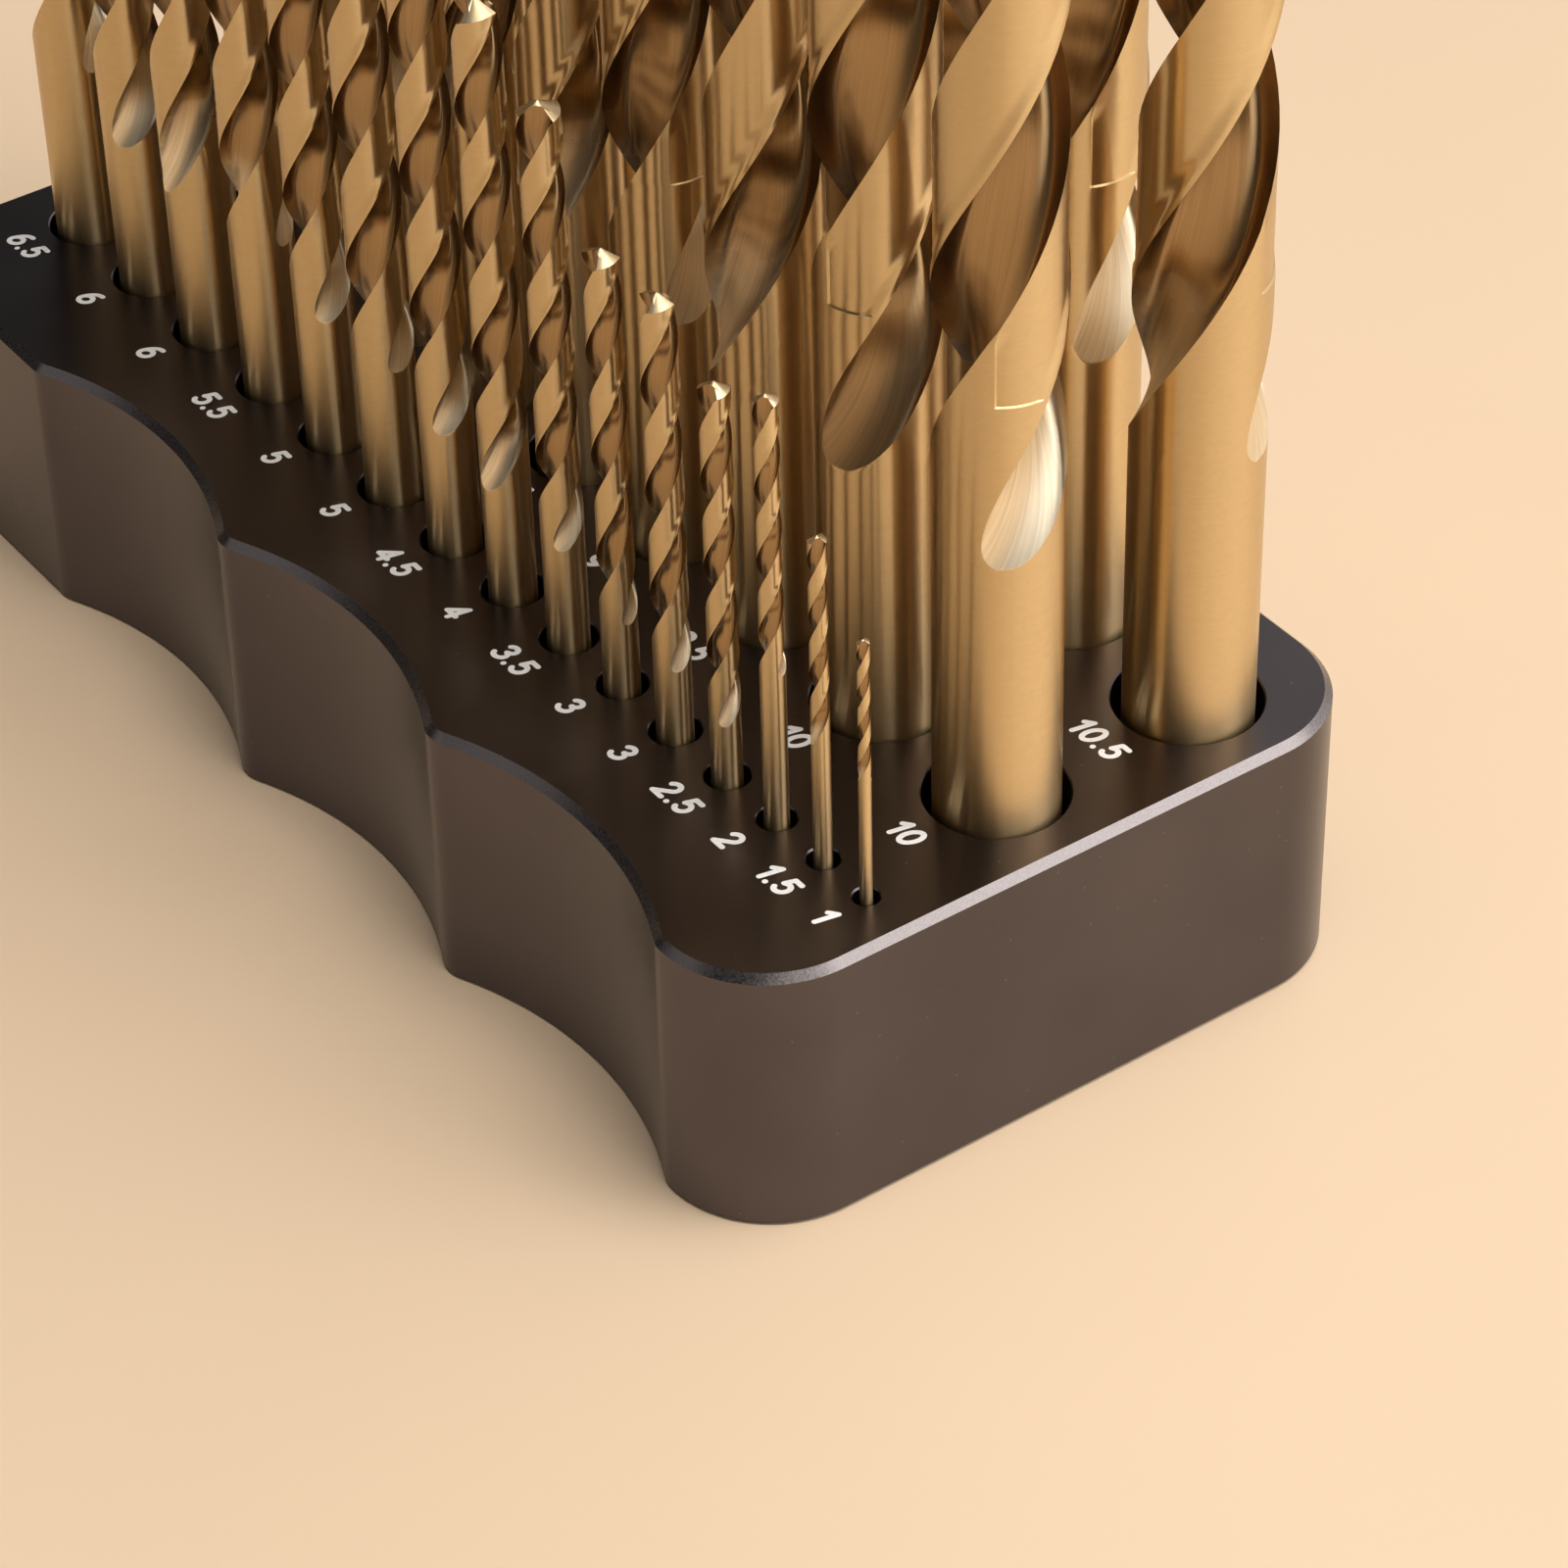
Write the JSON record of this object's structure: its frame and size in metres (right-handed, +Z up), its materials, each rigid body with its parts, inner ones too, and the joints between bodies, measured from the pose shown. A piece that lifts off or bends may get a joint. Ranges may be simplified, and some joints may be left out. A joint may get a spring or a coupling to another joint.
{
  "type": "drill bit stand",
  "caption": "Scalloped block with three rows of blind holes that hold a graded set of loose straight-shank twist drills, each of which lifts straight out.",
  "frame": {"origin": "centre of the block's underside", "axes": "+Z up along the drills, +X along the rows towards the end with the smallest drill, +Y from the scalloped front side to the straight back side"},
  "size_m": [0.13, 0.062, 0.156],
  "materials": {
    "dark_block": "dark satin coating, with a pale chamfer around the top",
    "steel_straw": "straw-coloured oxide over ground steel"
  },
  "bodies": {
    "stand": {"block": "dark_block"},
    "drill_1mm_body": {"drill_1mm": "steel_straw"},
    "drill_1_5mm_body": {"drill_1_5mm": "steel_straw"},
    "drill_2mm_body": {"drill_2mm": "steel_straw"},
    "drill_2_5mm_body": {"drill_2_5mm": "steel_straw"},
    "drill_3mm_a_body": {"drill_3mm_a": "steel_straw"},
    "drill_3mm_b_body": {"drill_3mm_b": "steel_straw"},
    "drill_3_5mm_body": {"drill_3_5mm": "steel_straw"},
    "drill_4mm_body": {"drill_4mm": "steel_straw"},
    "drill_4_5mm_body": {"drill_4_5mm": "steel_straw"},
    "drill_5mm_a_body": {"drill_5mm_a": "steel_straw"},
    "drill_5mm_b_body": {"drill_5mm_b": "steel_straw"},
    "drill_5_5mm_body": {"drill_5_5mm": "steel_straw"},
    "drill_6mm_a_body": {"drill_6mm_a": "steel_straw"},
    "drill_6mm_b_body": {"drill_6mm_b": "steel_straw"},
    "drill_6_5mm_body": {"drill_6_5mm": "steel_straw"},
    "drill_10mm_a_body": {"drill_10mm_a": "steel_straw"},
    "drill_10mm_b_body": {"drill_10mm_b": "steel_straw"},
    "drill_9_5mm_body": {"drill_9_5mm": "steel_straw"},
    "drill_9mm_body": {"drill_9mm": "steel_straw"},
    "drill_8_5mm_body": {"drill_8_5mm": "steel_straw"},
    "drill_8mm_a_body": {"drill_8mm_a": "steel_straw"},
    "drill_8mm_b_body": {"drill_8mm_b": "steel_straw"},
    "drill_7_5mm_body": {"drill_7_5mm": "steel_straw"},
    "drill_7mm_body": {"drill_7mm": "steel_straw"},
    "drill_10_5mm_body": {"drill_10_5mm": "steel_straw"},
    "drill_11mm_body": {"drill_11mm": "steel_straw"},
    "drill_11_5mm_body": {"drill_11_5mm": "steel_straw"},
    "drill_12mm_a_body": {"drill_12mm_a": "steel_straw"},
    "drill_12mm_b_body": {"drill_12mm_b": "steel_straw"},
    "drill_12_5mm_body": {"drill_12_5mm": "steel_straw"},
    "drill_13mm_body": {"drill_13mm": "steel_straw"}
  },
  "joints": [
    {"name": "drill_1mm_lift", "type": "slide", "parent": "stand", "child": "drill_1mm_body", "axis": [0, 0, 1], "range_m": [0, 0.0095]},
    {"name": "drill_1_5mm_lift", "type": "slide", "parent": "stand", "child": "drill_1_5mm_body", "axis": [0, 0, 1], "range_m": [0, 0.0095]},
    {"name": "drill_2mm_lift", "type": "slide", "parent": "stand", "child": "drill_2mm_body", "axis": [0, 0, 1], "range_m": [0, 0.0095]},
    {"name": "drill_2_5mm_lift", "type": "slide", "parent": "stand", "child": "drill_2_5mm_body", "axis": [0, 0, 1], "range_m": [0, 0.02]},
    {"name": "drill_3mm_a_lift", "type": "slide", "parent": "stand", "child": "drill_3mm_a_body", "axis": [0, 0, 1], "range_m": [0, 0.02]},
    {"name": "drill_3mm_b_lift", "type": "slide", "parent": "stand", "child": "drill_3mm_b_body", "axis": [0, 0, 1], "range_m": [0, 0.02]},
    {"name": "drill_3_5mm_lift", "type": "slide", "parent": "stand", "child": "drill_3_5mm_body", "axis": [0, 0, 1], "range_m": [0, 0.02]},
    {"name": "drill_4mm_lift", "type": "slide", "parent": "stand", "child": "drill_4mm_body", "axis": [0, 0, 1], "range_m": [0, 0.02]},
    {"name": "drill_4_5mm_lift", "type": "slide", "parent": "stand", "child": "drill_4_5mm_body", "axis": [0, 0, 1], "range_m": [0, 0.02]},
    {"name": "drill_5mm_a_lift", "type": "slide", "parent": "stand", "child": "drill_5mm_a_body", "axis": [0, 0, 1], "range_m": [0, 0.02]},
    {"name": "drill_5mm_b_lift", "type": "slide", "parent": "stand", "child": "drill_5mm_b_body", "axis": [0, 0, 1], "range_m": [0, 0.02]},
    {"name": "drill_5_5mm_lift", "type": "slide", "parent": "stand", "child": "drill_5_5mm_body", "axis": [0, 0, 1], "range_m": [0, 0.02]},
    {"name": "drill_6mm_a_lift", "type": "slide", "parent": "stand", "child": "drill_6mm_a_body", "axis": [0, 0, 1], "range_m": [0, 0.02]},
    {"name": "drill_6mm_b_lift", "type": "slide", "parent": "stand", "child": "drill_6mm_b_body", "axis": [0, 0, 1], "range_m": [0, 0.02]},
    {"name": "drill_6_5mm_lift", "type": "slide", "parent": "stand", "child": "drill_6_5mm_body", "axis": [0, 0, 1], "range_m": [0, 0.02]},
    {"name": "drill_10mm_a_lift", "type": "slide", "parent": "stand", "child": "drill_10mm_a_body", "axis": [0, 0, 1], "range_m": [0, 0.02]},
    {"name": "drill_10mm_b_lift", "type": "slide", "parent": "stand", "child": "drill_10mm_b_body", "axis": [0, 0, 1], "range_m": [0, 0.02]},
    {"name": "drill_9_5mm_lift", "type": "slide", "parent": "stand", "child": "drill_9_5mm_body", "axis": [0, 0, 1], "range_m": [0, 0.02]},
    {"name": "drill_9mm_lift", "type": "slide", "parent": "stand", "child": "drill_9mm_body", "axis": [0, 0, 1], "range_m": [0, 0.02]},
    {"name": "drill_8_5mm_lift", "type": "slide", "parent": "stand", "child": "drill_8_5mm_body", "axis": [0, 0, 1], "range_m": [0, 0.02]},
    {"name": "drill_8mm_a_lift", "type": "slide", "parent": "stand", "child": "drill_8mm_a_body", "axis": [0, 0, 1], "range_m": [0, 0.02]},
    {"name": "drill_8mm_b_lift", "type": "slide", "parent": "stand", "child": "drill_8mm_b_body", "axis": [0, 0, 1], "range_m": [0, 0.02]},
    {"name": "drill_7_5mm_lift", "type": "slide", "parent": "stand", "child": "drill_7_5mm_body", "axis": [0, 0, 1], "range_m": [0, 0.02]},
    {"name": "drill_7mm_lift", "type": "slide", "parent": "stand", "child": "drill_7mm_body", "axis": [0, 0, 1], "range_m": [0, 0.02]},
    {"name": "drill_10_5mm_lift", "type": "slide", "parent": "stand", "child": "drill_10_5mm_body", "axis": [0, 0, 1], "range_m": [0, 0.02]},
    {"name": "drill_11mm_lift", "type": "slide", "parent": "stand", "child": "drill_11mm_body", "axis": [0, 0, 1], "range_m": [0, 0.02]},
    {"name": "drill_11_5mm_lift", "type": "slide", "parent": "stand", "child": "drill_11_5mm_body", "axis": [0, 0, 1], "range_m": [0, 0.02]},
    {"name": "drill_12mm_a_lift", "type": "slide", "parent": "stand", "child": "drill_12mm_a_body", "axis": [0, 0, 1], "range_m": [0, 0.02]},
    {"name": "drill_12mm_b_lift", "type": "slide", "parent": "stand", "child": "drill_12mm_b_body", "axis": [0, 0, 1], "range_m": [0, 0.02]},
    {"name": "drill_12_5mm_lift", "type": "slide", "parent": "stand", "child": "drill_12_5mm_body", "axis": [0, 0, 1], "range_m": [0, 0.02]},
    {"name": "drill_13mm_lift", "type": "slide", "parent": "stand", "child": "drill_13mm_body", "axis": [0, 0, 1], "range_m": [0, 0.02]}
  ]
}
